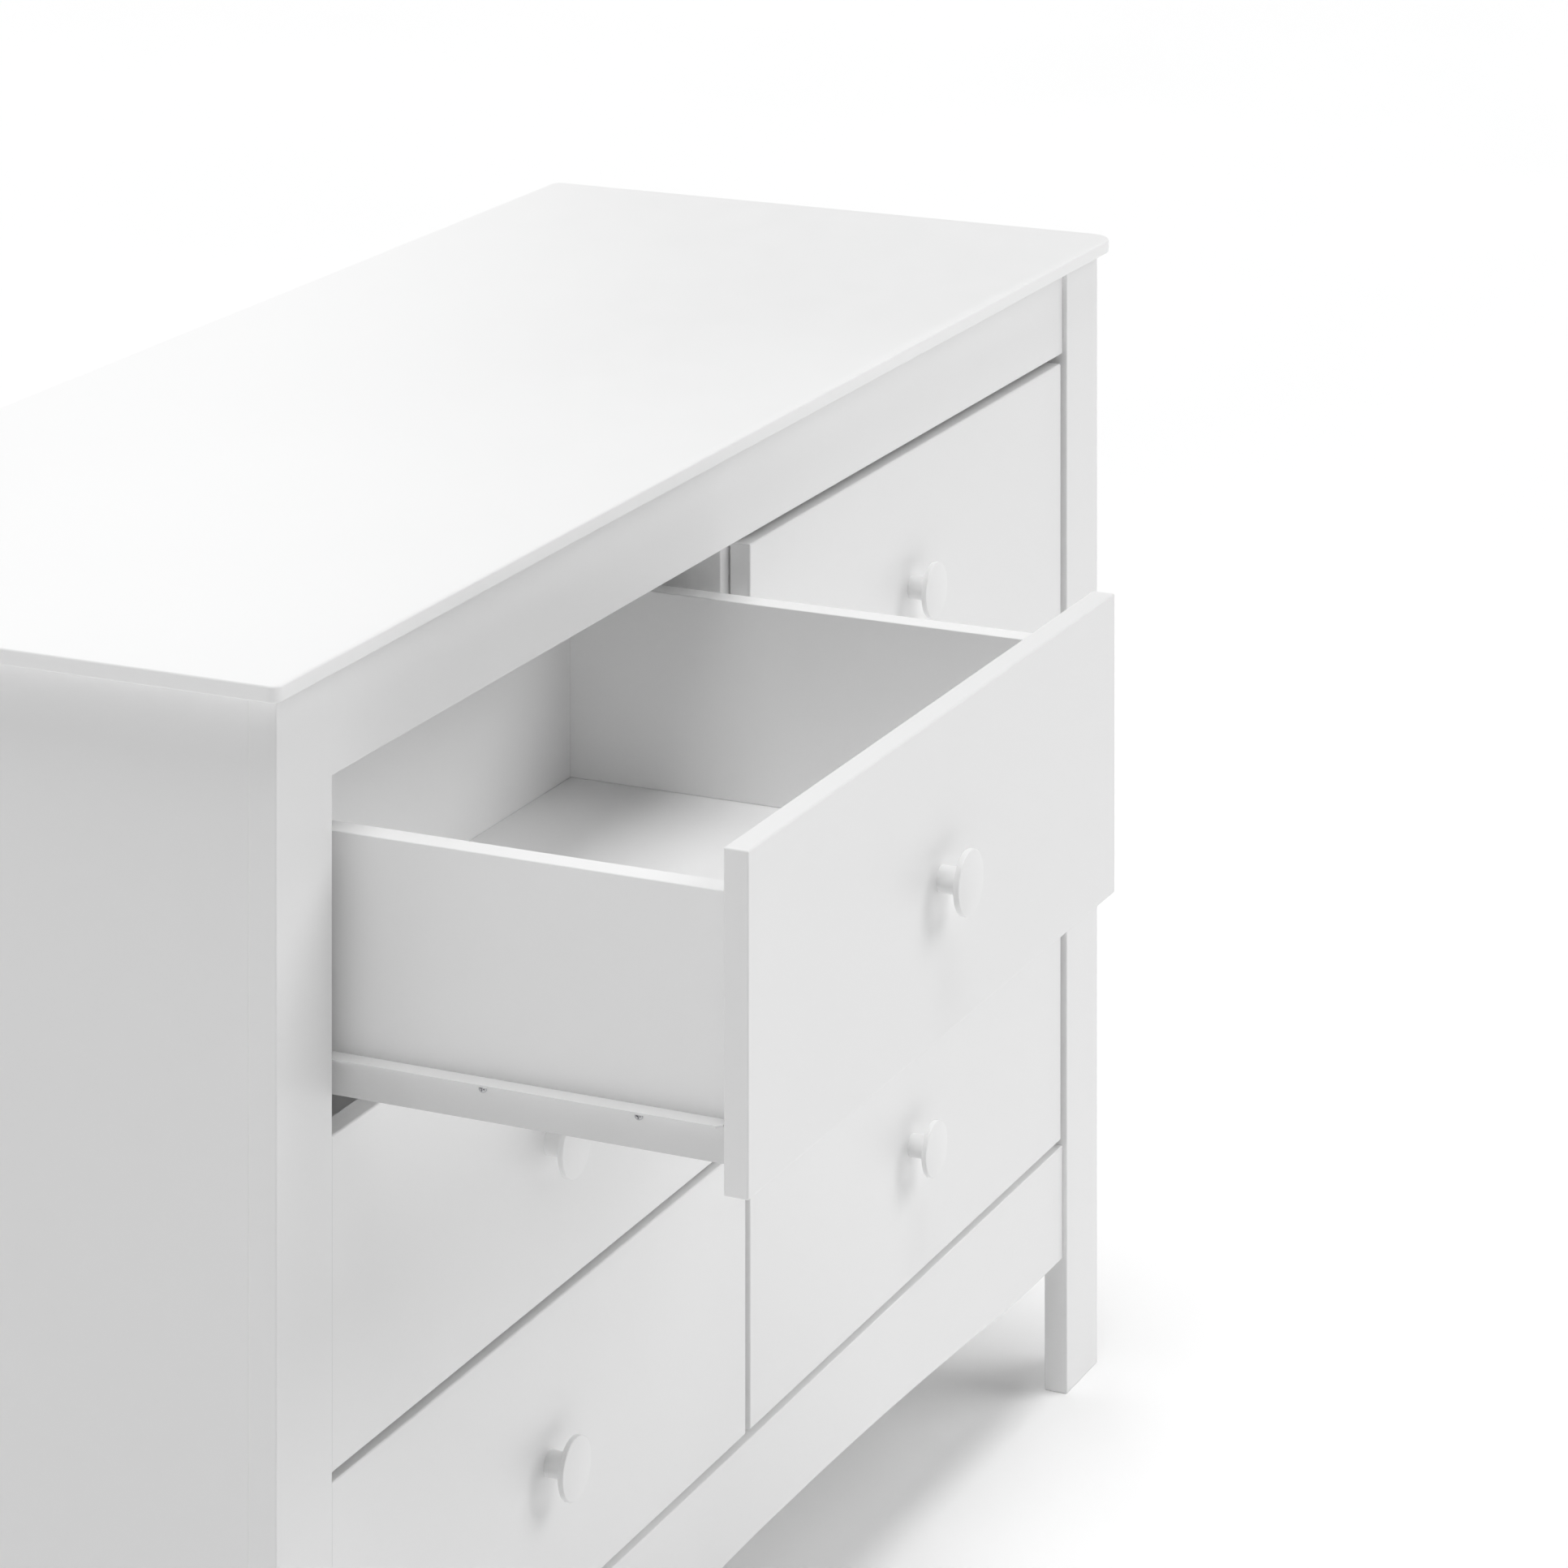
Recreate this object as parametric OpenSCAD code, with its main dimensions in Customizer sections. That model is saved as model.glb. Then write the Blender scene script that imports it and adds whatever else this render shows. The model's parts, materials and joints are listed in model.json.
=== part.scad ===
// Six-drawer dresser: a painted case on four board legs, with six drawers on roller runners.
// Heights count up from the floor and X from the middle of the case. Depths count back from
// the front faces of the front legs, and at() and board() put them in the part's own frame,
// whose origin is on the floor in the middle of the box around the whole part.

/* [Case] */
// Width over the legs
case_w = 1232.5; // [1100:0.5:1400]
// Depth over the front and back legs
case_d = 458; // [440:1:560]
// Height from the floor to the top surface
case_h = 848; // [800:1:900]
// Width of a leg board
leg_w = 62.2; // [50:0.1:80]
// Thickness of a leg board
leg_t = 18.1; // [15:0.1:20]
// Thickness of a side panel
side_t = 15; // [12:0.5:18]
// How far a side panel sits in from the legs' outer faces
side_inset = 1; // [0:0.5:5]
// Height of the side panels and rails above the floor
floor_gap = 100.7; // [60:0.1:110]
// Thickness of the back panels
back_t = 3; // [3:0.5:6]
// Thickness of the centre divider
divider_t = 16.1; // [15:0.1:18]

/* [Top] */
// Thickness of the top
top_t = 9.6; // [8:0.1:25]
// How far the top stands past the case at each side
top_side = 16.2; // [0:0.1:30]
// How far the top stands past the case at the front and at the back
top_front = 9.6; // [0:0.1:30]
// Radius of the top's corners
top_r = 7; // [2:0.5:12]
// Radius of its front right corner
top_right_r = 21; // [12:0.5:30]

/* [Front rails] */
// Height of the top rail
top_rail_h = 64; // [40:0.5:70]
// Height of the bottom rail's top edge above the floor
bottom_rail_top = 184.8; // [170:0.1:200]
// How far the rails sit behind the legs' front faces
rail_inset = 3.4; // [0:0.1:5]
// Rise of the arch under the bottom rail
arch_rise = 17.8; // [5:0.1:30]
// Radius of the arch
arch_r = 6150; // [5500:10:9000]
// Radius of the blend between the arch and the flat at each end
arch_blend_r = 1050; // [500:10:1200]

/* [Drawer fronts] */
// Thickness of a drawer front
front_t = 15; // [12:0.5:18]
// How far the fronts sit behind the legs' front faces
front_inset = 3; // [0:0.1:5]
// Gap between a front and the leg beside it
leg_gap = 4.45; // [2:0.05:6]
// Gap between the two columns of fronts
column_gap = 6.75; // [3:0.05:10]
// Gap between two rows of fronts, and above the bottom rail
row_gap = 5.7; // [3:0.1:8]
// Gap under the top rail
top_gap = 6.7; // [3:0.1:8]

/* [Drawer boxes] */
// Height of the sides' lower edges above the front's lower edge
box_z = 16; // [12:0.1:20]
// Height of a side
side_h = 146.3; // [100:0.1:150]
// Thickness of the side boards
box_t = 15.8; // [12:0.1:16]
// Thickness of the back board
box_back_t = 15; // [12:0.5:16]
// Depth from the front board to the end of the sides
box_l = 368; // [360:1:375]
// Height of the bottom panel's top face above the sides' lower edges
bottom_z = 17.6; // [12:0.1:30]
// Thickness of the bottom panel
bottom_t = 4; // [3:0.5:6]
// Depth of the grooves that hold the bottom panel
groove = 6; // [4:0.5:7]
// How far the top left drawer is pulled out at rest
open_by = 257.1; // [0:0.1:265]

/* [Knobs] */
// Diameter of a knob
knob_d = 38.4; // [30:0.1:45]
// How far a knob stands out from its front
knob_l = 20; // [15:0.5:25]
// Thickness of the knob's disc at the rim
knob_rim = 4.4; // [3:0.1:6]
// Diameter of the stem
stem_d = 16; // [10:0.1:20]
// How far the knobs sit to the left of their fronts' middles
knob_shift = 6.5; // [0:0.1:10]
// How far the knobs sit below their fronts' middles
knob_drop = 1; // [0:0.1:5]

/* [Runners] */
// Space for a runner beside a drawer
runner_gap = 12.6; // [12.5:0.05:12.7]
// Length of a runner
runner_l = 350; // [340:1:355]
// Thickness of the runners' steel
steel_t = 1.2; // [1:0.1:1.4]
// Height of a drawer runner above the side's lower edge
lip_z = 22.6; // [22.4:0.1:23]
// Clearance between the parts that pass each other
slip = 1.2; // [1:0.1:1.3]
// Diameter of the drawer's own rollers
drawer_roller_d = 21; // [20:0.1:21]
// Diameter of the case's rollers
case_roller_d = 22; // [20:0.1:22]
// Diameter of a roller's axle
axle_d = 5; // [4:0.1:6]
// Height of a runner cleat
cleat_h = 40; // [30:1:60]

/* [Wall anchors] */
// Diameter of a wall-anchor hole
anchor_d = 4; // [3:0.5:6]
// Depth of a wall-anchor hole
anchor_l = 14; // [8:0.5:16]
// Distance of the wall-anchor holes from the middle of the case
anchor_x = 480; // [300:1:540]

/* [Hidden] */
$fn = 96;
white = [0.93, 0.93, 0.92];
steel_white = [0.88, 0.88, 0.88];
nylon_white = [0.82, 0.82, 0.80];
hardboard_white = [0.90, 0.90, 0.89];

half_w = case_w / 2;
inner_x = half_w - leg_w;
under_top = case_h - top_t;
top_rail_z = under_top - top_rail_h;
mid_y = (case_d + top_front + front_inset - knob_l - open_by) / 2;

front_w = inner_x - leg_gap - column_gap / 2;
front_h = (top_rail_z - top_gap - bottom_rail_top) / 3 - row_gap;
front_back_y = front_inset + front_t;
divider_y = front_back_y + 1;
back_y = case_d - leg_t;
glue_line = 0.2;
wall_y = back_y - back_t;

// The left column's box: X of the outer and inner faces of its two sides
box_left = -inner_x + runner_gap;
box_right = -divider_t / 2 - runner_gap;
box_end_y = front_back_y + box_l;
box_back_y = box_end_y - box_back_t;

// Runner cross-sections: across counts out from the drawer side's face, up from its lower edge
roller_slip = 0.3;
lip_w = runner_gap - slip;
channel_in = 2 * slip;
case_roller_z = lip_z - steel_t - roller_slip - case_roller_d / 2;
channel_top = lip_z - steel_t - 1;
drawer_roller_z = channel_top - steel_t - roller_slip - drawer_roller_d / 2;
channel_bottom = drawer_roller_z - drawer_roller_d / 2 - roller_slip - steel_t;
mitre = 3;
flange_w = 12;
runner_y = front_back_y + roller_slip;
runner_end_y = runner_y + runner_l;
case_roller_y = front_back_y + 14;
drawer_roller_y = runner_end_y - 14;
channel_y = case_roller_y + case_roller_d / 2 + 6;
rivet_d = axle_d + 3;
rivet_t = 0.8;
bore_slip = 0.05;

rim_r = knob_rim / 2;
crown = 0.7;

ROWS = ["bottom", "middle", "top"];
DRAWERS = [for (row = [2:-1:0]) for (side = [-1, 1]) [side, row]];
CASE_PARTS = [
    "top_panel", "left_side_panel", "right_side_panel", "front_left_leg", "front_right_leg",
    "rear_frame", "front_top_rail", "front_bottom_rail", "centre_divider", "back_panels",
    "runner_cleats", "case_runners"
];
DRAWER_PARTS = [
    "drawer_front", "drawer_sides", "drawer_back", "drawer_bottom", "drawer_knob",
    "drawer_runners", "drawer_rollers", "case_rollers"
];
function place(d) = str(ROWS[d[1]], d[0] < 0 ? "_left" : "_right");

function front_z(d) = bottom_rail_top + row_gap + d[1] * (front_h + row_gap);
function box_floor(d) = front_z(d) + box_z;
function pulled(d) = place(d) == "top_left" ? open_by : 0;

// Height of the bottom rail's lower edge above its flat ends, at X from the middle:
// an arc over most of the width, and a blend arc that curves the other way into the flat
arch_sum = arch_r + arch_blend_r;
arch_end = sqrt(arch_sum ^ 2 - (arch_sum - arch_rise) ^ 2);
arch_join = arch_end * arch_r / arch_sum;
function arch_z(x) =
    abs(x) >= arch_end ? 0 :
    abs(x) > arch_join ? arch_blend_r - sqrt(arch_blend_r ^ 2 - (arch_end - abs(x)) ^ 2) :
    arch_rise - arch_r + sqrt(arch_r ^ 2 - x ^ 2);

// ---- Helpers ----

module at(x, depth, z)
    translate([x, depth - mid_y, z]) children();

module board(x, depth, z)
    at(x[0], depth[0], z[0]) cube([x[1] - x[0], depth[1] - depth[0], z[1] - z[0]]);

// Extrudes an outline drawn as X and Z from one depth to another
module along_y(depth)
    at(0, depth[1], 0) rotate([90, 0, 0]) linear_extrude(depth[1] - depth[0]) children();

module rect(across, up)
    translate([across[0], up[0]]) square([across[1] - across[0], up[1] - up[0]]);

module both_sides()
    for (m = [0, 1]) mirror([m, 0, 0]) children();

// Puts a left-column shape in its drawer's column
module in_column(d)
    mirror([d[0] > 0 ? 1 : 0, 0, 0]) children();

// A drawer's own frame: its column, its height, and its place along the runners
module in_drawer(d)
    translate([0, -pulled(d), box_floor(d)]) in_column(d) children();

// Repeats a shape at the two sides of a left-column box, with +X pointing away from the box
module at_box_sides() {
    translate([box_left, 0, 0]) mirror([1, 0, 0]) children();
    translate([box_right, 0, 0]) children();
}

module round_rect(w, d, r) {
    square([w - 2 * r, d], center = true);
    square([w, d - 2 * r], center = true);
    for (x = [-1, 1], y = [-1, 1])
        translate([x * (w / 2 - r), y * (d / 2 - r)]) circle(r);
}

// ---- Case ----

module top_panel() color(white)
    at(0, case_d / 2, under_top) linear_extrude(top_t) difference() {
        round_rect(case_w + 2 * top_side, case_d + 2 * top_front, top_r);
        translate([half_w + top_side - top_right_r, -case_d / 2 - top_front]) difference() {
            translate([0, -1]) square(top_right_r + 1);
            translate([0, top_right_r]) circle(top_right_r);
        }
    }

module left_side_panel() color(white)
    board([-half_w + side_inset, -half_w + side_inset + side_t], [leg_t, back_y],
          [floor_gap, under_top]);

module right_side_panel()
    mirror([1, 0, 0]) left_side_panel();

module front_left_leg() color(white)
    board([-half_w, -inner_x], [0, leg_t], [0, under_top]);

module front_right_leg()
    mirror([1, 0, 0]) front_left_leg();

// Two legs and two rails; each rail stops a glue line short of the legs
module rear_frame() color(white) {
    rail_x = inner_x - glue_line;
    both_sides() board([-half_w, -inner_x], [back_y, case_d], [0, under_top]);
    board([-rail_x, rail_x], [back_y, case_d], [floor_gap, bottom_rail_top]);
    difference() {
        board([-rail_x, rail_x], [back_y, case_d], [top_rail_z, under_top]);
        both_sides()
            at(anchor_x, case_d + 1, under_top - top_rail_h / 2)
                rotate([90, 0, 0]) cylinder(d = anchor_d, h = anchor_l + 1);
    }
}

module front_top_rail() color(white)
    board([-inner_x, inner_x], [rail_inset, divider_y], [top_rail_z, under_top]);

module front_bottom_rail() color(white)
    along_y([rail_inset, divider_y])
        polygon(concat(
            [[inner_x, bottom_rail_top], [-inner_x, bottom_rail_top], [-inner_x, floor_gap]],
            [for (i = [-32:32]) [i / 32 * arch_end, floor_gap + arch_z(i / 32 * arch_end)]],
            [[inner_x, floor_gap]]));

module centre_divider() color(white)
    board([-divider_t / 2, divider_t / 2], [divider_y, wall_y],
          [floor_gap + arch_rise, under_top]);

module back_panels() color(hardboard_white)
    both_sides()
        board([0.5, half_w - side_inset - side_t], [wall_y, back_y], [floor_gap + 4, under_top - 4]);

// Wooden cleats that carry the outer runners, between each side panel and the runner
module runner_cleats() color(white)
    both_sides()
        for (row = [0:2])
            board([-half_w + side_inset + side_t, -inner_x], [leg_t, wall_y],
                  [box_floor([-1, row]) - 12, box_floor([-1, row]) - 12 + cleat_h]);

// One case runner: a channel that opens to the drawer, and a plate in front of it with the axle
module case_runner() {
    along_y([runner_y, runner_end_y])
        rect([lip_w, runner_gap], [channel_bottom, channel_top]);
    along_y([runner_y, runner_end_y])
        rect([channel_in, runner_gap], [channel_bottom, channel_bottom + steel_t]);
    along_y([channel_y, runner_end_y])
        rect([channel_in, runner_gap], [channel_top - steel_t, channel_top]);
    at(channel_in - rivet_t, case_roller_y, case_roller_z) rotate([0, 90, 0]) {
        cylinder(d = axle_d, h = runner_gap - channel_in + rivet_t);
        cylinder(d = rivet_d, h = rivet_t);
    }
}

module case_runners() color(steel_white)
    for (d = DRAWERS)
        translate([0, 0, box_floor(d)]) in_column(d) at_box_sides() case_runner();

// ---- Drawers ----

module drawer_front(d) color(white)
    in_drawer(d) difference() {
        board([-inner_x + leg_gap, -column_gap / 2], [front_inset, front_back_y],
              [-box_z, front_h - box_z]);
        bottom_board();
    }

module drawer_sides(d) color(white)
    in_drawer(d) difference() {
        at_box_sides() board([-box_t, 0], [front_back_y, box_end_y], [0, side_h]);
        bottom_board();
    }

module drawer_back(d) color(white)
    in_drawer(d)
        board([box_left + box_t, box_right - box_t], [box_back_y, box_end_y], [bottom_z, side_h]);

// The bottom panel slides under the back board, and into grooves in the sides and the front
module bottom_board()
    board([box_left + box_t - groove, box_right - box_t + groove],
          [front_back_y - groove, box_end_y], [bottom_z - bottom_t, bottom_z]);

module drawer_bottom(d) color(hardboard_white)
    in_drawer(d) bottom_board();

// A turned knob: a straight stem under a disc with a round rim and a slightly crowned face
module drawer_knob(d) color(white)
    translate([d[0] * (column_gap + front_w) / 2 - knob_shift, -pulled(d),
               front_z(d) + front_h / 2 - knob_drop])
        at(0, front_inset, 0) rotate([90, 0, 0]) rotate_extrude() knob_outline();

module knob_outline() {
    disc_z = knob_l - crown - knob_rim;
    square([stem_d / 2, knob_l - crown]);
    translate([0, disc_z]) square([knob_d / 2 - rim_r, knob_rim]);
    translate([knob_d / 2 - rim_r, disc_z + rim_r]) circle(rim_r);
    polygon([[0, knob_l - crown], [knob_d / 2 - rim_r, knob_l - crown],
             [knob_d / 4, knob_l - crown / 4], [0, knob_l]]);
}

// One drawer runner: an angle under and against the side, with a lip out over the case's roller
// whose front corner is cut off, and a rivet at the back that carries the drawer's roller
module drawer_runner() {
    along_y([runner_y, runner_end_y]) {
        rect([0, steel_t], [-steel_t, lip_z]);
        rect([-flange_w, steel_t], [-steel_t, 0]);
    }
    at(0, runner_y, lip_z - steel_t)
        linear_extrude(steel_t)
            polygon([[0, 0], [lip_w - mitre, 0], [lip_w, mitre], [lip_w, runner_l], [0, runner_l]]);
    at(0, drawer_roller_y, drawer_roller_z) rotate([0, 90, 0]) {
        cylinder(d = axle_d, h = lip_w - slip);
        translate([0, 0, lip_w - slip - rivet_t]) cylinder(d = rivet_d, h = rivet_t);
    }
}

module drawer_runners(d) color(steel_white)
    in_drawer(d) at_box_sides() drawer_runner();

// A roller on its axle, from one distance out from the drawer side to another
module roller(across, diameter) color(nylon_white)
    translate([across[0], 0, 0]) rotate([0, 90, 0]) difference() {
        cylinder(d = diameter, h = across[1] - across[0]);
        translate([0, 0, -1])
            cylinder(d = axle_d + 2 * bore_slip, h = across[1] - across[0] + 2);
    }

module drawer_rollers(d)
    in_drawer(d) at_box_sides()
        at(0, drawer_roller_y, drawer_roller_z)
            roller([steel_t + roller_slip, lip_w - slip - rivet_t - roller_slip], drawer_roller_d);

module case_rollers(d)
    translate([0, 0, box_floor(d)]) in_column(d) at_box_sides()
        at(0, case_roller_y, case_roller_z)
            roller([channel_in + roller_slip, lip_w - roller_slip], case_roller_d);

// ---- Nodes ----

top_panel();
left_side_panel();
right_side_panel();
front_left_leg();
front_right_leg();
rear_frame();
front_top_rail();
front_bottom_rail();
centre_divider();
back_panels();
runner_cleats();
case_runners();
for (d = DRAWERS) {
    drawer_front(d);
    drawer_sides(d);
    drawer_back(d);
    drawer_bottom(d);
    drawer_knob(d);
    drawer_runners(d);
    drawer_rollers(d);
    case_rollers(d);
}
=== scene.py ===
"""A white six-drawer dresser on a pale studio floor, with its top left drawer pulled out."""

import json
import math

import bmesh
import bpy
from mathutils import Matrix, Vector


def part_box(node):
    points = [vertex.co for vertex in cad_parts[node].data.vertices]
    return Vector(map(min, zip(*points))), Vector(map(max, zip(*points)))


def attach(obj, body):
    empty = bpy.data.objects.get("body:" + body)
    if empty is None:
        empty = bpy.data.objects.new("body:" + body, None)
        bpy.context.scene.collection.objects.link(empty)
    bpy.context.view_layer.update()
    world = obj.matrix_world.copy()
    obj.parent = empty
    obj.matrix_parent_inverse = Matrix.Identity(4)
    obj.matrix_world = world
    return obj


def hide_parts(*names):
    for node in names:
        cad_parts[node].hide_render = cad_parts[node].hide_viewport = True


MM = 0.001
STEEL_T = 1.2 * MM
PLACES = ["top_left", "top_right", "middle_left", "middle_right", "bottom_left", "bottom_right"]

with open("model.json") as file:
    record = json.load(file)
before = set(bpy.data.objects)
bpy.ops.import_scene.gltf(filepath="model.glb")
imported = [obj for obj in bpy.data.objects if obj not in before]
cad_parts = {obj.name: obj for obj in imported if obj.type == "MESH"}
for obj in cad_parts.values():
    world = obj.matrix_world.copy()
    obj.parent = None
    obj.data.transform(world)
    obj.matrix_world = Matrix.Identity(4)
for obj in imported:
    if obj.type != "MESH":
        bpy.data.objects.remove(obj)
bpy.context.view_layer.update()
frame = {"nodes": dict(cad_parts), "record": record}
nodes = frame["nodes"]


# ---- Camera ----

def view_camera():
    """A view camera: its back stands upright while it aims down, so upright edges stay parallel."""
    heading = math.radians(65.334)
    drop_per_metre = 0.31544
    focal_per_width = 3.6131
    sensor_width = 36
    from_leg = Vector((-2.5716, -1.4867, 0))
    height = 1.72255
    leg_low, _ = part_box("front_left_leg")
    right = Vector((math.cos(heading), -math.sin(heading), 0))
    ahead = Vector((math.sin(heading), math.cos(heading), 0))
    up = Vector((0, 0, 1))
    aim = (ahead - drop_per_metre * up).normalized()
    place = Vector((leg_low.x, leg_low.y, height)) + from_leg
    stand = bpy.data.objects.new("camera_stand", None)
    bpy.context.scene.collection.objects.link(stand)
    data = bpy.data.cameras.new("camera")
    data.sensor_width = sensor_width
    data.lens = sensor_width * focal_per_width
    data.clip_end = 100
    camera = bpy.data.objects.new("camera", data)
    bpy.context.scene.collection.objects.link(camera)
    camera.parent = stand
    columns = (right, up, -aim, place)
    camera.matrix_parent_inverse = Matrix(
        [[c[row] for c in columns] for row in range(3)] + [[0, 0, 0, 1]])
    bpy.context.scene.camera = camera


# ---- Materials ----

class Nodes:
    """A new material, with short names for the nodes that the materials share."""

    def __init__(self, name):
        self.material = bpy.data.materials.new(name)
        self.material.use_nodes = True
        self.tree = self.material.node_tree
        self.shader = self.tree.nodes["Principled BSDF"]
        self.place = self.tree.nodes.new("ShaderNodeTexCoord").outputs["Object"]

    def link(self, output, socket):
        self.tree.links.new(output, socket)

    def noise(self, scale, detail=2.0, stretch=(1, 1, 1)):
        mapping = self.tree.nodes.new("ShaderNodeMapping")
        mapping.inputs["Scale"].default_value = stretch
        self.link(self.place, mapping.inputs["Vector"])
        node = self.tree.nodes.new("ShaderNodeTexNoise")
        node.inputs["Scale"].default_value = scale
        node.inputs["Detail"].default_value = detail
        self.link(mapping.outputs["Vector"], node.inputs["Vector"])
        return node.outputs["Fac"]

    def spread(self, value, low, high):
        node = self.tree.nodes.new("ShaderNodeMapRange")
        node.inputs["From Min"].default_value = 0.3
        node.inputs["From Max"].default_value = 0.7
        node.inputs["To Min"].default_value = low
        node.inputs["To Max"].default_value = high
        self.link(value, node.inputs["Value"])
        return node.outputs["Result"]

    def colour(self, value, dark, light):
        ramp = self.tree.nodes.new("ShaderNodeValToRGB")
        ramp.color_ramp.elements[0].position = 0.3
        ramp.color_ramp.elements[0].color = (*dark, 1)
        ramp.color_ramp.elements[1].position = 0.7
        ramp.color_ramp.elements[1].color = (*light, 1)
        self.link(value, ramp.inputs["Fac"])
        self.link(ramp.outputs["Color"], self.shader.inputs["Base Color"])

    def bump(self, value, height, before=None):
        node = self.tree.nodes.new("ShaderNodeBump")
        node.inputs["Strength"].default_value = 1.0
        node.inputs["Distance"].default_value = height
        self.link(value, node.inputs["Height"])
        if before:
            self.link(before, node.inputs["Normal"])
        self.link(node.outputs["Normal"], self.shader.inputs["Normal"])
        return node.outputs["Normal"]


def paint(name, tone, roughness, grain=(1, 1, 1), grain_height=0.004, peel_height=0.006):
    """Satin paint on board: faint patches in tone and gloss, the grain below and a rolled texture."""
    n = Nodes(name)
    n.colour(n.noise(7.0, 3.0), (tone - 0.003,) * 3, (tone + 0.003,) * 3)
    n.link(n.spread(n.noise(35.0), roughness - 0.012, roughness + 0.012), n.shader.inputs["Roughness"])
    below = n.bump(n.noise(260.0, 4.0, grain), grain_height * MM)
    n.bump(n.noise(1100.0), peel_height * MM, below)
    return n.material


def hardboard(name, tone):
    """Painted hardboard: a matt face with short fibres under the paint."""
    n = Nodes(name)
    n.colour(n.noise(6.0, 4.0), (tone - 0.012,) * 3, (tone + 0.01,) * 3)
    n.link(n.spread(n.noise(60.0), 0.52, 0.64), n.shader.inputs["Roughness"])
    fibres = n.bump(n.noise(420.0, 5.0, (1, 0.35, 1)), 0.012 * MM)
    n.bump(n.noise(900.0, 3.0, (0.4, 1, 1)), 0.008 * MM, fibres)
    return n.material


def powder_coat(name, tone):
    """Epoxy powder on steel: even and a little glossy, with a fine orange-peel surface."""
    n = Nodes(name)
    n.colour(n.noise(15.0), (tone - 0.01,) * 3, (tone + 0.01,) * 3)
    n.link(n.spread(n.noise(80.0), 0.30, 0.38), n.shader.inputs["Roughness"])
    n.bump(n.noise(700.0, 1.0), 0.02 * MM)
    n.shader.inputs["Coat Weight"].default_value = 0.3
    n.shader.inputs["Coat Roughness"].default_value = 0.25
    return n.material


def nylon(name, tone):
    """Moulded nylon: slightly see-through, with faint flow marks."""
    n = Nodes(name)
    n.colour(n.noise(90.0, 3.0), (tone - 0.02,) * 3, (tone + 0.01,) * 3)
    n.link(n.spread(n.noise(200.0), 0.38, 0.5), n.shader.inputs["Roughness"])
    n.bump(n.noise(500.0), 0.006 * MM)
    n.shader.inputs["Subsurface Weight"].default_value = 0.2
    n.shader.inputs["Subsurface Radius"].default_value = (2 * MM,) * 3
    return n.material


def zinc(name):
    """Grey zinc plate, with fine scratches and patches in its gloss."""
    n = Nodes(name)
    n.colour(n.noise(400.0, 3.0), (0.36, 0.36, 0.37), (0.50, 0.50, 0.51))
    n.link(n.spread(n.noise(900.0, 3.0, (1, 1, 0.2)), 0.22, 0.38), n.shader.inputs["Roughness"])
    n.bump(n.noise(2500.0, 2.0, (1, 1, 0.1)), 0.004 * MM)
    n.shader.inputs["Metallic"].default_value = 1.0
    return n.material


def backdrop_paper(name):
    """Matt white paper, with slow changes in tone."""
    n = Nodes(name)
    n.colour(n.noise(0.7), (0.955,) * 3, (0.965,) * 3)
    n.link(n.spread(n.noise(3.0), 0.85, 0.95), n.shader.inputs["Roughness"])
    return n.material


ALONG_X, ALONG_Y, ALONG_Z = (0.06, 1, 1), (1, 0.06, 1), (1, 1, 0.06)
TONE = 0.88
case_upright = paint("case_paint_upright", TONE, 0.36, ALONG_Z)
case_level = paint("case_paint_level", TONE, 0.36, ALONG_X)
front_paint = paint("front_paint", TONE, 0.36, ALONG_X)
# The top's paint is a lighter copy of the case's white paint: painted light that makes the top
# brighter than the lamps make it.
top_paint_painted_light = paint("top_paint_painted_light", TONE + 0.06, 0.38, ALONG_X)
# The drawer sides, drawer backs and runner cleats take a lighter copy of the same white paint: painted
# light that brightens the open drawer's inside.
box_paint_painted_light = paint("drawer_box_paint_painted_light", TONE + 0.04, 0.42, ALONG_Y)
box_back_paint_painted_light = paint("drawer_back_paint_painted_light", TONE + 0.04, 0.42, ALONG_X)
knob_paint = paint("knob_paint", TONE, 0.30, peel_height=0.003)
board_paint = hardboard("hardboard_paint", TONE + 0.02)
steel = powder_coat("runner_powder_coat", 0.80)
roller_nylon = nylon("roller_nylon", 0.78)
screw_zinc = zinc("screw_zinc")

NODE_MATERIALS = {
    "top_panel": top_paint_painted_light, "left_side_panel": case_upright, "right_side_panel": case_upright,
    "front_left_leg": case_upright, "front_right_leg": case_upright, "rear_frame": case_upright,
    "front_top_rail": case_level, "front_bottom_rail": case_level,
    "centre_divider": case_upright, "back_panels": board_paint, "runner_cleats": box_paint_painted_light,
    "case_runners": steel,
}
DRAWER_MATERIALS = {
    "drawer_front": front_paint, "drawer_sides": box_paint_painted_light, "drawer_back": box_back_paint_painted_light,
    "drawer_bottom": board_paint, "drawer_runners": steel, "drawer_rollers": roller_nylon,
    "case_rollers": roller_nylon, "drawer_knob": knob_paint,
}


def finish_nodes():
    """Gives each CAD node its material."""
    for place in PLACES:
        for part, material in DRAWER_MATERIALS.items():
            NODE_MATERIALS[f"{place}_{part}"] = material
    for name, material in NODE_MATERIALS.items():
        mesh = nodes[name].data
        mesh.materials.clear()
        mesh.materials.append(material)


# ---- Softened edges on the CAD boards ----

def soften(obj, width):
    """Rounds a board's edges. Its mesh stays as it is, and the modifiers do the work."""
    weld = obj.modifiers.new("weld", "WELD")
    weld.merge_threshold = 0.01 * MM
    flat = obj.modifiers.new("flat", "DECIMATE")
    flat.decimate_type = "DISSOLVE"
    flat.angle_limit = math.radians(1)
    bevel = obj.modifiers.new("edges", "BEVEL")
    bevel.width = width
    bevel.segments = 3
    bevel.limit_method = "ANGLE"
    bevel.angle_limit = math.radians(40)
    bevel.harden_normals = True


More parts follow.
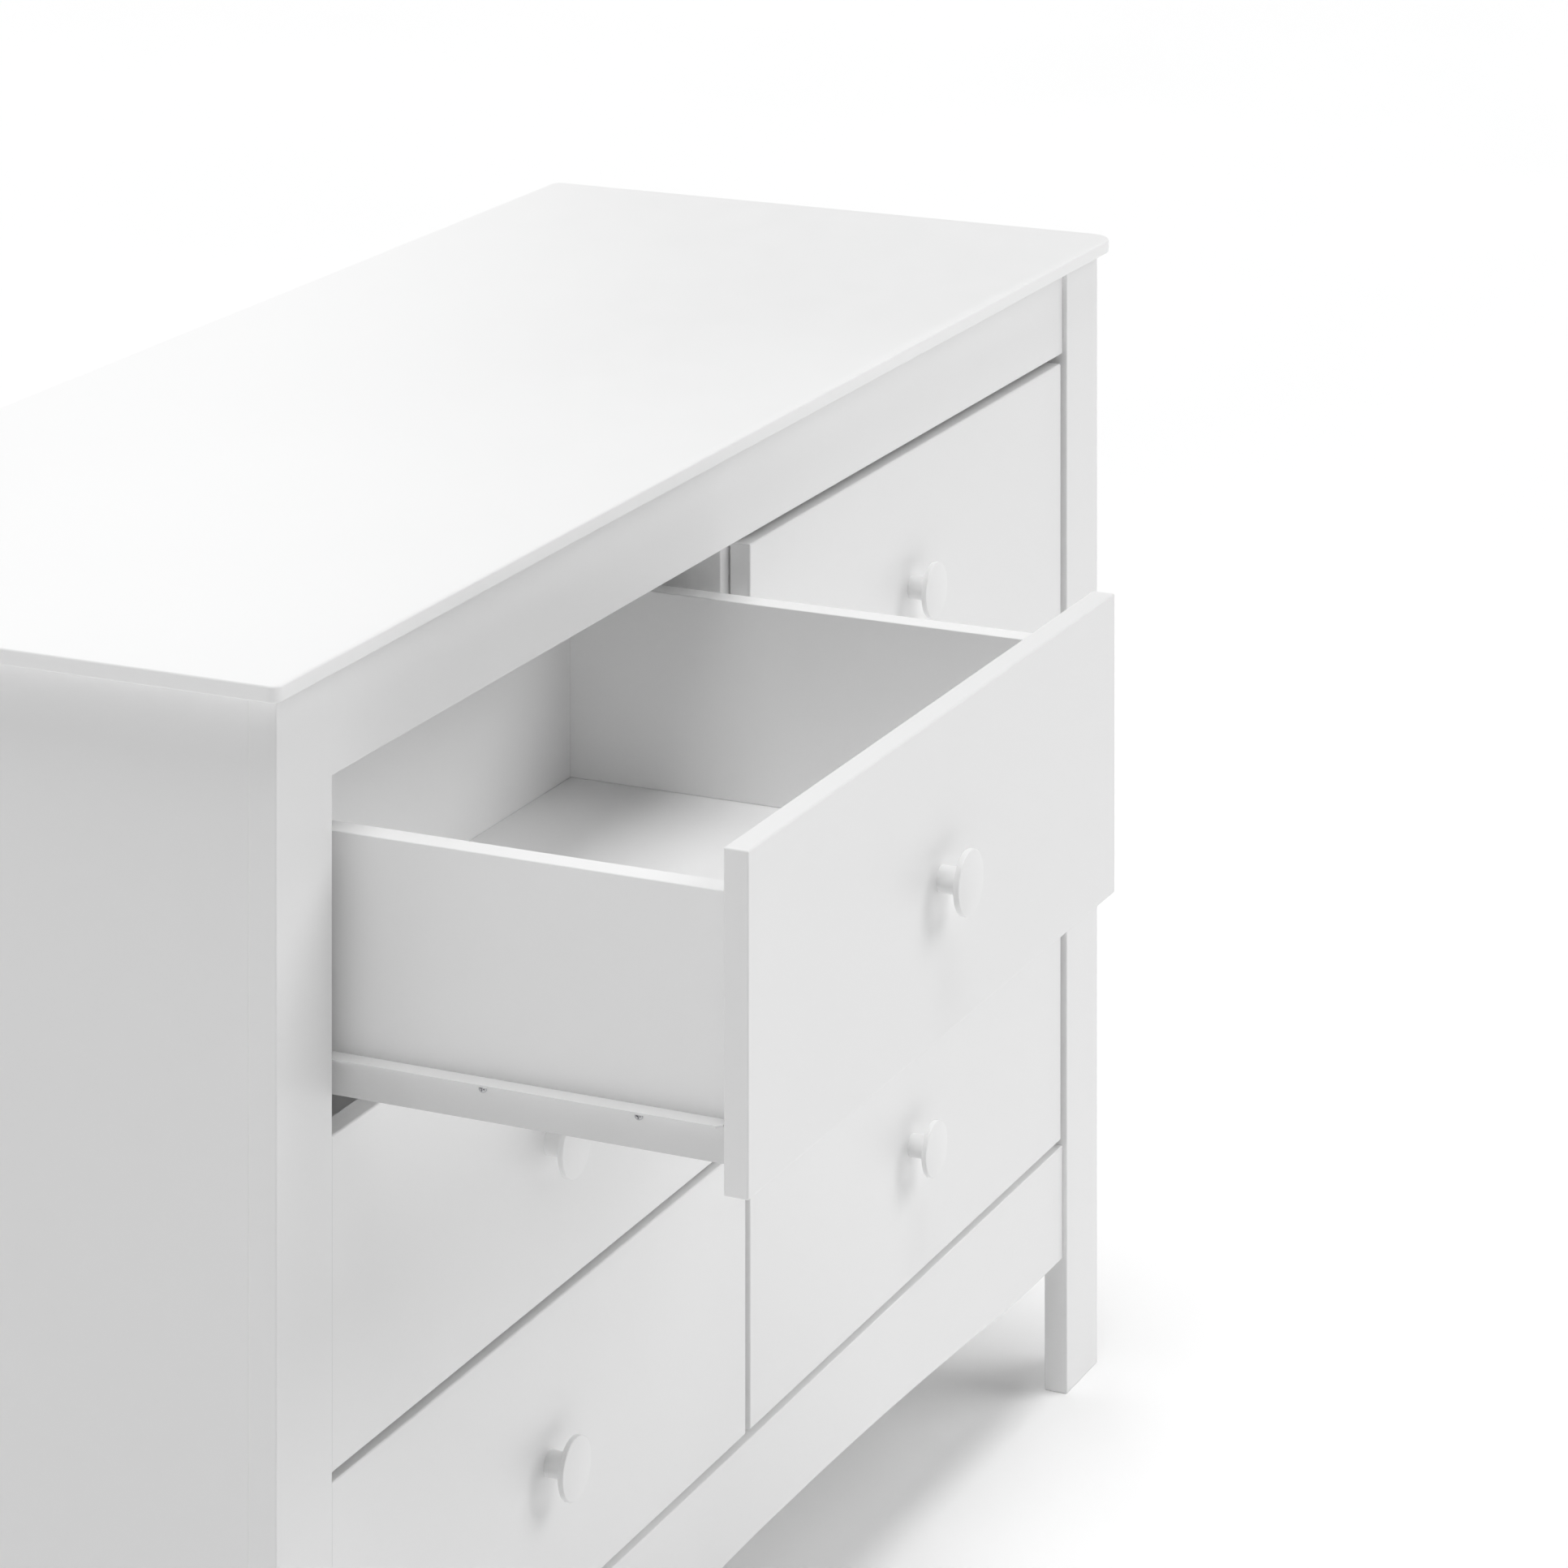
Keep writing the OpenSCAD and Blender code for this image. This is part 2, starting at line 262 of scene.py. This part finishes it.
def soften_boards():
    """Rounds the edges of the boards and runners, by widths in millimetres."""
    edge_widths = {
        "top_panel": 1.4, "left_side_panel": 0.6, "right_side_panel": 0.6, "front_left_leg": 1.0,
        "front_right_leg": 1.0, "rear_frame": 1.0, "front_top_rail": 0.8, "front_bottom_rail": 0.8,
        "centre_divider": 0.8, "runner_cleats": 0.8,
    }
    for name, width in edge_widths.items():
        soften(nodes[name], width * MM)
    for place in PLACES:
        soften(nodes[f"{place}_drawer_front"], 1.2 * MM)
        soften(nodes[f"{place}_drawer_sides"], 0.8 * MM)
        soften(nodes[f"{place}_drawer_back"], 0.8 * MM)
        soften(nodes[f"{place}_drawer_runners"], 0.25 * MM)
    soften(nodes["case_runners"], 0.25 * MM)


# ---- Pieces ----

def add_piece(name, mesh, body, material):
    """Puts a mesh in the scene as a piece that rides on a body."""
    piece = bpy.data.objects.new(name, mesh)
    bpy.context.scene.collection.objects.link(piece)
    mesh.materials.clear()
    mesh.materials.append(material)
    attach(piece, body)
    return piece


def lathe(profile, steps):
    """A turned shape about Z, from the (radius, height) points of its outline."""
    bm = bmesh.new()
    verts = [bm.verts.new((r, 0, h)) for r, h in profile]
    edges = [bm.edges.new(pair) for pair in zip(verts, verts[1:])]
    bmesh.ops.spin(bm, geom=verts + edges, axis=(0, 0, 1), cent=(0, 0, 0), steps=steps,
                   angle=2 * math.pi)
    bmesh.ops.remove_doubles(bm, verts=bm.verts, dist=0.001 * MM)
    bmesh.ops.recalc_face_normals(bm, faces=bm.faces)
    mesh = bpy.data.meshes.new("lathe")
    bm.to_mesh(mesh)
    bm.free()
    return mesh


def arc(centre, radius, start, end, points):
    """Points along an arc, in degrees from the first axis towards the second."""
    angles = [math.radians(start + (end - start) * i / (points - 1)) for i in range(points)]
    return [(centre[0] + radius * math.cos(a), centre[1] + radius * math.sin(a)) for a in angles]


def smooth(mesh, angle):
    """Smooth shading, except across edges that turn by more than an angle in degrees."""
    mesh.shade_smooth()
    bm = bmesh.new()
    bm.from_mesh(mesh)
    for edge in bm.edges:
        if len(edge.link_faces) == 2 and edge.calc_face_angle(0) > math.radians(angle):
            edge.smooth = False
    bm.to_mesh(mesh)
    bm.free()


def copies(name, mesh, matrices):
    """One mesh from a shape repeated at each matrix."""
    bm = bmesh.new()
    for matrix in matrices:
        first = len(bm.verts)
        bm.from_mesh(mesh)
        bm.verts.ensure_lookup_table()
        bmesh.ops.transform(bm, matrix=matrix, verts=bm.verts[first:])
    result = bpy.data.meshes.new(name)
    bm.to_mesh(result)
    bm.free()
    return result


def screw_head():
    """A pan head with a cross recess. Its seat is at Z 0, its base just below, its top faces +Z."""
    radius, height = 2.5 * MM, 1.1 * MM
    side, sunk = 0.5 * MM, 0.2 * MM
    cross_size = (3.0 * MM, 0.8 * MM, 1.5 * MM)
    profile = [(0, -sunk), (radius, -sunk), (radius, side)]
    steps = 8
    for i in range(1, steps + 1):
        a = math.radians(90 * i / steps)
        profile.append((radius * math.cos(a), side + (height - side) * math.sin(a)))
    profile[-1] = (0, height)
    head = bpy.data.objects.new("head", lathe(profile, 40))
    bm = bmesh.new()
    for turn in (0, 90):
        slot = bmesh.ops.create_cube(bm, size=1)["verts"]
        spin = Matrix.Rotation(math.radians(turn), 4, "Z")
        grow = Matrix.Diagonal((*cross_size, 1))
        bmesh.ops.transform(bm, matrix=spin @ Matrix.Translation((0, 0, height)) @ grow, verts=slot)
    cutter_mesh = bpy.data.meshes.new("cross")
    bm.to_mesh(cutter_mesh)
    bm.free()
    cutter = bpy.data.objects.new("cross", cutter_mesh)
    for obj in (head, cutter):
        bpy.context.scene.collection.objects.link(obj)
    cut = head.modifiers.new("cut", "BOOLEAN")
    cut.object = cutter
    cut.solver = "EXACT"
    cut.use_self = True
    bpy.context.view_layer.update()
    graph = bpy.context.evaluated_depsgraph_get()
    done = bpy.data.meshes.new_from_object(head.evaluated_get(graph))
    for obj in (head, cutter):
        bpy.data.objects.remove(obj)
    smooth(done, 35)
    return done


def facing(direction, point, turn=0):
    """A matrix that puts a shape at a point with its +Z along a direction."""
    turned = Vector(direction).to_track_quat("Z", "Y").to_matrix().to_4x4()
    return Matrix.Translation(point) @ turned @ Matrix.Rotation(math.radians(turn), 4, "Z")


def knob_mesh():
    """A turned knob: a stem with a small fillet at the disc, a straight rim and a crowned face."""
    low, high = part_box("top_right_drawer_knob")
    length = high.y - low.y
    radius = (high.x - low.x) / 2
    stem = 8 * MM
    disc = 3.8 * MM
    edge = 0.9 * MM
    crown = 1.3 * MM
    fillet = 1.5 * MM
    back = length - crown - disc
    front = length - crown
    profile = [(0, 0), (stem, 0)]
    profile += arc((stem + fillet, back - fillet), fillet, 180, 90, 6)
    profile += arc((radius - edge, back + edge), edge, -90, 0, 7)
    profile += arc((radius - edge, front - edge), edge, 0, 90, 7)
    face = radius - edge
    sphere = (face ** 2 + crown ** 2) / (2 * crown)
    half_angle = math.degrees(math.asin(face / sphere))
    dome = arc((0, length - sphere), sphere, 90 - half_angle, 90, 8)
    profile += dome[1:-1] + [(0, length)]
    mesh = lathe(profile, 96)
    smooth(mesh, 35)
    return mesh


def knobs():
    """A turned knob on each drawer, in place of the plain CAD one."""
    shape = knob_mesh()
    for place in PLACES:
        low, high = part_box(f"{place}_drawer_knob")
        centre = Vector(((low.x + high.x) / 2, high.y, (low.z + high.z) / 2))
        mesh = copies(f"{place}_knob", shape, [facing((0, -1, 0), centre)])
        piece = add_piece(f"{place}_knob", mesh, f"{place}_drawer", knob_paint)
        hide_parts(f"{place}_drawer_knob")


def drawer_screws(head):
    """The screws that hold the runners to the drawer sides, and the knob's screw inside the front."""
    below_lip = 5.6 * MM
    depths = (53.9, 150, 305)
    for index, place in enumerate(PLACES):
        side_low, side_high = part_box(f"{place}_drawer_sides")
        run_low, run_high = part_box(f"{place}_drawer_runners")
        plate_left = side_low.x - STEEL_T
        plate_right = side_high.x + STEEL_T
        z = run_high.z - below_lip
        spots = []
        for number, depth in enumerate(depths):
            y = run_low.y + depth * MM
            turn = 37 * (index + 2 * number)
            spots.append(facing((-1, 0, 0), (plate_left, y, z), turn))
            spots.append(facing((1, 0, 0), (plate_right, y, z), turn + 20))
        knob_low, knob_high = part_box(f"{place}_drawer_knob")
        front_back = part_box(f"{place}_drawer_front")[1].y
        centre = ((knob_low.x + knob_high.x) / 2, front_back, (knob_low.z + knob_high.z) / 2)
        spots.append(facing((0, 1, 0), centre, 25 * index))
        mesh = copies(f"{place}_screws", head, spots)
        add_piece(f"{place}_screws", mesh, f"{place}_drawer", screw_zinc)


def case_screws(head):
    """The screws that hold the outer runners, seen when a drawer is out."""
    runner_space = 12.6 * MM
    to_plate = runner_space - STEEL_T
    depths = (60, 180, 300)
    runner_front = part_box("case_runners")[0].y
    spots = []
    for place in PLACES:
        side_low, side_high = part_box(f"{place}_drawer_sides")
        roll_low, roll_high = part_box(f"{place}_case_rollers")
        z = (roll_low.z + roll_high.z) / 2
        for depth in depths:
            y = runner_front + depth * MM
            spots.append(facing((1, 0, 0), (side_low.x - to_plate, y, z), depth))
            spots.append(facing((-1, 0, 0), (side_high.x + to_plate, y, z), depth + 50))
    mesh = copies("case_screws", head, spots)
    add_piece("case_screws", mesh, "case", screw_zinc)


def rounded_bar(low, high, edge):
    """A bar between two corners, with rounded edges."""
    bm = bmesh.new()
    bmesh.ops.create_cube(bm, size=1)
    middle = (Vector(low) + Vector(high)) / 2
    size = Vector(high) - Vector(low)
    bmesh.ops.scale(bm, vec=size, verts=bm.verts)
    bmesh.ops.translate(bm, vec=middle, verts=bm.verts)
    bmesh.ops.bevel(bm, geom=bm.edges[:], offset=edge, segments=3, profile=0.5, affect="EDGES")
    mesh = bpy.data.meshes.new("bar")
    bm.to_mesh(mesh)
    bm.free()
    smooth(mesh, 30)
    return mesh


def back_strip():
    """The joining strip over the seam between the two back panels."""
    half_width = 8 * MM
    thickness = 1.6 * MM
    edge = 0.5 * MM
    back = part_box("back_panels")[1].y
    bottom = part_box("front_bottom_rail")[1].z
    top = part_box("front_top_rail")[0].z
    mesh = rounded_bar((-half_width, back, bottom), (half_width, back + thickness, top), edge)
    add_piece("back_joining_strip", mesh, "case", board_paint)


def anchor_ferrules():
    """A steel ring round each wall-anchor hole."""
    hole, outer = 2.1 * MM, 5.5 * MM
    proud, sunk = 0.8 * MM, 0.2 * MM
    rim = 0.4 * MM
    profile = [(hole, -sunk), (hole, proud - rim)]
    profile += arc((hole + rim, proud - rim), rim, 180, 90, 4)
    profile += arc((outer - rim, proud - rim), rim, 90, 0, 4)
    profile += [(outer, -sunk), profile[0]]
    shape = lathe(profile, 48)
    smooth(shape, 40)
    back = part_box("rear_frame")[1].y
    spots = []
    for mount in frame["record"]["mounts"]:
        if mount["name"].startswith("wall_anchor"):
            x, _, z = mount["pos_m"]
            spots.append(facing((0, 1, 0), (x, back, z)))
    mesh = copies("anchor_ferrules", shape, spots)
    add_piece("anchor_ferrules", mesh, "case", screw_zinc)


# ---- Stage and light ----

def floor():
    """A wide paper floor."""
    bpy.ops.mesh.primitive_plane_add(size=60)
    plane = bpy.context.object
    plane.name = "floor"
    plane.data.materials.append(backdrop_paper("floor_paper"))


def sun(name, direction, spread, strength):
    """A distant light that stands in a direction from the dresser. Its spread is in degrees."""
    data = bpy.data.lights.new(name, "SUN")
    data.energy = strength
    data.angle = math.radians(spread)
    light = bpy.data.objects.new(name, data)
    light.matrix_world = facing(direction, (0, 0, 3))
    bpy.context.scene.collection.objects.link(light)


def studio():
    """Four broad lights and a faint even sky. The camera sees a brighter sky than lights the scene."""
    sun("overhead", (-0.17, -0.10, 1), 28, 1.52)
    sun("front_right", (0.6, -1, 0.9), 40, 1.14)
    sun("right", (1, 0, 0.35), 120, 0.7)
    sun("back", (0, 1, 0.35), 120, 1.55)
    scene = bpy.context.scene
    world = bpy.data.worlds.new("studio")
    scene.world = world
    world.use_nodes = True
    tree = world.node_tree
    dim = tree.nodes["Background"]
    dim.inputs["Color"].default_value = (1, 1, 1, 1)
    dim.inputs["Strength"].default_value = 0.04
    bright = tree.nodes.new("ShaderNodeBackground")
    bright.inputs["Color"].default_value = (1, 1, 1, 1)
    bright.inputs["Strength"].default_value = 1.05
    seen = tree.nodes.new("ShaderNodeLightPath")
    mix = tree.nodes.new("ShaderNodeMixShader")
    tree.links.new(seen.outputs["Is Camera Ray"], mix.inputs["Fac"])
    tree.links.new(dim.outputs["Background"], mix.inputs[1])
    tree.links.new(bright.outputs["Background"], mix.inputs[2])
    tree.links.new(mix.outputs["Shader"], tree.nodes["World Output"].inputs["Surface"])
    scene.view_settings.view_transform = "Standard"
    scene.cycles.max_bounces = 16
    scene.cycles.diffuse_bounces = 12


view_camera()
studio()
floor()
finish_nodes()
soften_boards()
knobs()
screw = screw_head()
drawer_screws(screw)
case_screws(screw)
back_strip()
anchor_ferrules()
